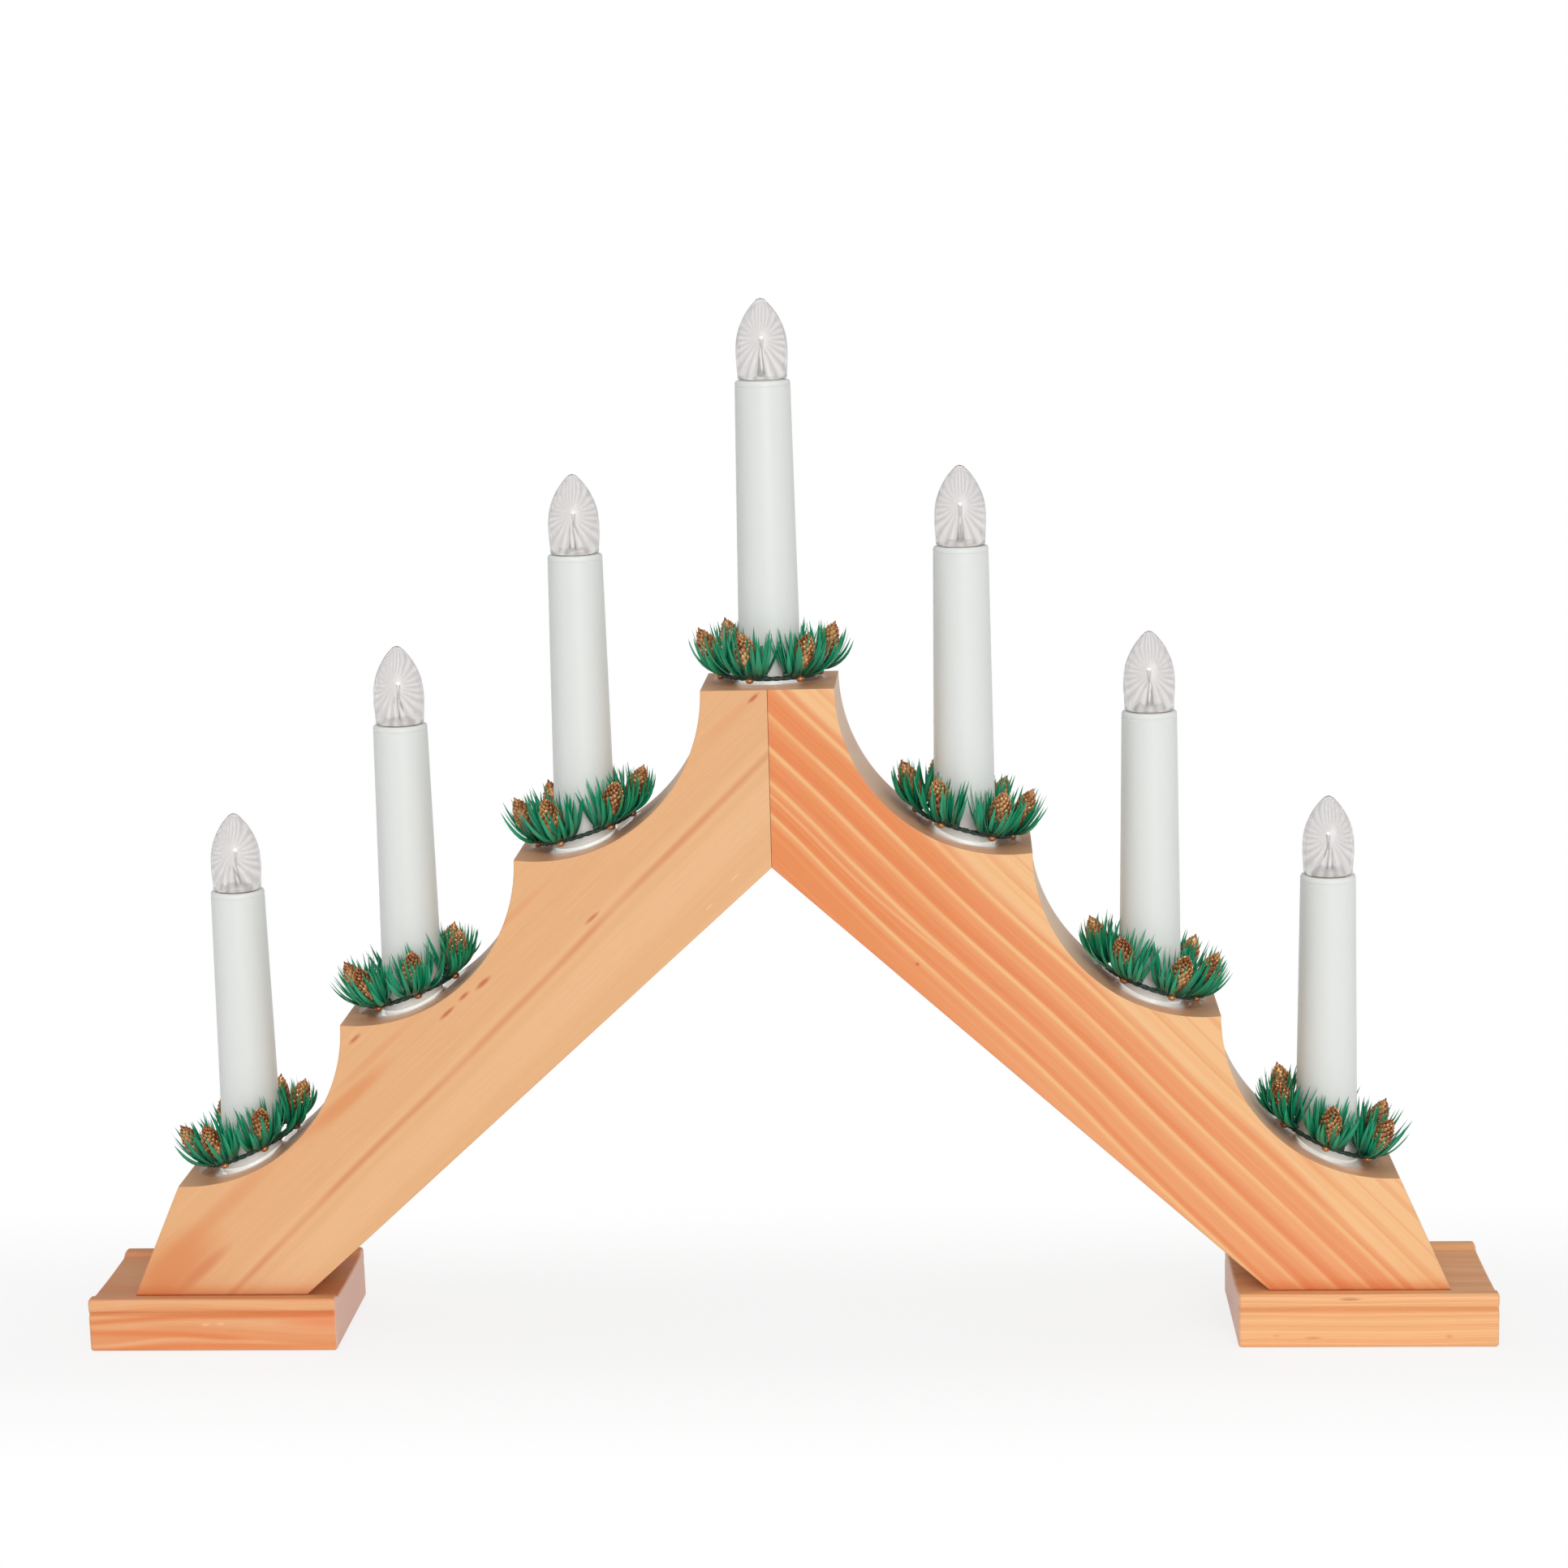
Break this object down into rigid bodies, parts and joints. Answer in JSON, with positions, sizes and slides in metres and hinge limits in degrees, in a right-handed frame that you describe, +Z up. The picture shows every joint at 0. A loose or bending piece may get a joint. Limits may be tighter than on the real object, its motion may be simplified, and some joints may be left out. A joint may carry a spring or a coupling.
{
  "type": "electric candle arch",
  "caption": "Stepped wooden candle arch on two moulded feet, with tapered candle tubes, screw-in flame bulbs and a small fir wreath at the foot of each candle.",
  "frame": {"origin": "on the floor, midway between the feet, under the mitre joint", "axes": "+X along the arch to the viewer's right, +Y from the front to the back, +Z up"},
  "size_m": [0.4, 0.048, 0.2937],
  "materials": {
    "pine_light": "thin satin lacquer, pale pine with faint grain and short reddish marks",
    "pine_striped": "thin satin lacquer, pine with strong light and dark stripes along the arm",
    "pine_foot": "thin satin lacquer, moulded pine",
    "candle_plastic": "cool white moulded plastic, soft gloss",
    "holder_plastic": "ivory moulded plastic",
    "cap_brass": "bright thin sheet",
    "bulb_clear": "clear fluted flame",
    "disc_plastic": "thin clear glossy sheet",
    "needle_green": "glossy dark green moulded needles",
    "cone_copper": "copper-gold lacquer on a scaled cone",
    "ring_wire": "dark wrapped wire",
    "screw_steel": "zinc plated",
    "beech": "plain turned dowel",
    "lead_insulation": "white insulation"
  },
  "bodies": {
    "arch": {"arm_left": "pine_light", "arm_right": "pine_striped", "foot_left": "pine_foot", "foot_right": "pine_foot", "foot_screw_left_front": "screw_steel", "foot_screw_left_back": "screw_steel", "foot_screw_right_front": "screw_steel", "foot_screw_right_back": "screw_steel", "mitre_dowel_front": "beech", "mitre_dowel_back": "beech", "candle_tube_1": "candle_plastic", "candle_tube_2": "candle_plastic", "candle_tube_3": "candle_plastic", "candle_tube_4": "candle_plastic", "candle_tube_5": "candle_plastic", "candle_tube_6": "candle_plastic", "candle_tube_7": "candle_plastic", "lamp_holder_1": "holder_plastic", "lamp_holder_2": "holder_plastic", "lamp_holder_3": "holder_plastic", "lamp_holder_4": "holder_plastic", "lamp_holder_5": "holder_plastic", "lamp_holder_6": "holder_plastic", "lamp_holder_7": "holder_plastic", "drip_disc_1": "disc_plastic", "drip_disc_2": "disc_plastic", "drip_disc_3": "disc_plastic", "drip_disc_4": "disc_plastic", "drip_disc_5": "disc_plastic", "drip_disc_6": "disc_plastic", "drip_disc_7": "disc_plastic", "lead_1_to_2": "lead_insulation", "lead_2_to_3": "lead_insulation", "lead_3_to_4": "lead_insulation", "lead_4_to_5": "lead_insulation", "lead_5_to_6": "lead_insulation", "lead_6_to_7": "lead_insulation", "lead_feed": "lead_insulation", "lead_return": "lead_insulation"},
    "wreath_1": {"wreath_1": "needle_green"},
    "wreath_2": {"wreath_2": "needle_green"},
    "wreath_3": {"wreath_3": "needle_green"},
    "wreath_4": {"wreath_4": "needle_green"},
    "wreath_5": {"wreath_5": "needle_green"},
    "wreath_6": {"wreath_6": "needle_green"},
    "wreath_7": {"wreath_7": "needle_green"},
    "cap_1": {"bulb_cap_1": "cap_brass"},
    "flame_1": {"flame_bulb_1": "bulb_clear"},
    "cap_2": {"bulb_cap_2": "cap_brass"},
    "flame_2": {"flame_bulb_2": "bulb_clear"},
    "cap_3": {"bulb_cap_3": "cap_brass"},
    "flame_3": {"flame_bulb_3": "bulb_clear"},
    "cap_4": {"bulb_cap_4": "cap_brass"},
    "flame_4": {"flame_bulb_4": "bulb_clear"},
    "cap_5": {"bulb_cap_5": "cap_brass"},
    "flame_5": {"flame_bulb_5": "bulb_clear"},
    "cap_6": {"bulb_cap_6": "cap_brass"},
    "flame_6": {"flame_bulb_6": "bulb_clear"},
    "cap_7": {"bulb_cap_7": "cap_brass"},
    "flame_7": {"flame_bulb_7": "bulb_clear"}
  },
  "joints": [
    {"name": "wreath_lift_1", "type": "slide", "parent": "arch", "child": "wreath_1", "axis": [0, 0, 1], "range_m": [0, 0.115]},
    {"name": "wreath_lift_2", "type": "slide", "parent": "arch", "child": "wreath_2", "axis": [0, 0, 1], "range_m": [0, 0.115]},
    {"name": "wreath_lift_3", "type": "slide", "parent": "arch", "child": "wreath_3", "axis": [0, 0, 1], "range_m": [0, 0.115]},
    {"name": "wreath_lift_4", "type": "slide", "parent": "arch", "child": "wreath_4", "axis": [0, 0, 1], "range_m": [0, 0.115]},
    {"name": "wreath_lift_5", "type": "slide", "parent": "arch", "child": "wreath_5", "axis": [0, 0, 1], "range_m": [0, 0.115]},
    {"name": "wreath_lift_6", "type": "slide", "parent": "arch", "child": "wreath_6", "axis": [0, 0, 1], "range_m": [0, 0.115]},
    {"name": "wreath_lift_7", "type": "slide", "parent": "arch", "child": "wreath_7", "axis": [0, 0, 1], "range_m": [0, 0.115]},
    {"name": "bulb_rise_1", "type": "slide", "parent": "arch", "child": "cap_1", "axis": [0, 0, 1], "range_m": [0, 0.00544]},
    {"name": "bulb_turn_1", "type": "hinge", "parent": "cap_1", "child": "flame_1", "pos_m": [-0.1545, 0, 0.2], "axis": [0, 0, 1], "range_deg": [0, 1080]},
    {"name": "bulb_rise_2", "type": "slide", "parent": "arch", "child": "cap_2", "axis": [0, 0, 1], "range_m": [0, 0.00544]},
    {"name": "bulb_turn_2", "type": "hinge", "parent": "cap_2", "child": "flame_2", "pos_m": [-0.1051, 0, 0.2], "axis": [0, 0, 1], "range_deg": [0, 1080]},
    {"name": "bulb_rise_3", "type": "slide", "parent": "arch", "child": "cap_3", "axis": [0, 0, 1], "range_m": [0, 0.00544]},
    {"name": "bulb_turn_3", "type": "hinge", "parent": "cap_3", "child": "flame_3", "pos_m": [-0.0536, 0, 0.2], "axis": [0, 0, 1], "range_deg": [0, 1080]},
    {"name": "bulb_rise_4", "type": "slide", "parent": "arch", "child": "cap_4", "axis": [0, 0, 1], "range_m": [0, 0.00544]},
    {"name": "bulb_turn_4", "type": "hinge", "parent": "cap_4", "child": "flame_4", "pos_m": [0, 0, 0.2], "axis": [0, 0, 1], "range_deg": [0, 1080]},
    {"name": "bulb_rise_5", "type": "slide", "parent": "arch", "child": "cap_5", "axis": [0, 0, 1], "range_m": [0, 0.00544]},
    {"name": "bulb_turn_5", "type": "hinge", "parent": "cap_5", "child": "flame_5", "pos_m": [0.0536, 0, 0.2], "axis": [0, 0, 1], "range_deg": [0, 1080]},
    {"name": "bulb_rise_6", "type": "slide", "parent": "arch", "child": "cap_6", "axis": [0, 0, 1], "range_m": [0, 0.00544]},
    {"name": "bulb_turn_6", "type": "hinge", "parent": "cap_6", "child": "flame_6", "pos_m": [0.1051, 0, 0.2], "axis": [0, 0, 1], "range_deg": [0, 1080]},
    {"name": "bulb_rise_7", "type": "slide", "parent": "arch", "child": "cap_7", "axis": [0, 0, 1], "range_m": [0, 0.00544]},
    {"name": "bulb_turn_7", "type": "hinge", "parent": "cap_7", "child": "flame_7", "pos_m": [0.1545, 0, 0.2], "axis": [0, 0, 1], "range_deg": [0, 1080]}
  ],
  "couplings": [
    {"joint": "bulb_turn_1", "follows": "bulb_rise_1", "rad_per_m": 3463.2},
    {"joint": "bulb_turn_2", "follows": "bulb_rise_2", "rad_per_m": 3463.2},
    {"joint": "bulb_turn_3", "follows": "bulb_rise_3", "rad_per_m": 3463.2},
    {"joint": "bulb_turn_4", "follows": "bulb_rise_4", "rad_per_m": 3463.2},
    {"joint": "bulb_turn_5", "follows": "bulb_rise_5", "rad_per_m": 3463.2},
    {"joint": "bulb_turn_6", "follows": "bulb_rise_6", "rad_per_m": 3463.2},
    {"joint": "bulb_turn_7", "follows": "bulb_rise_7", "rad_per_m": 3463.2}
  ]
}
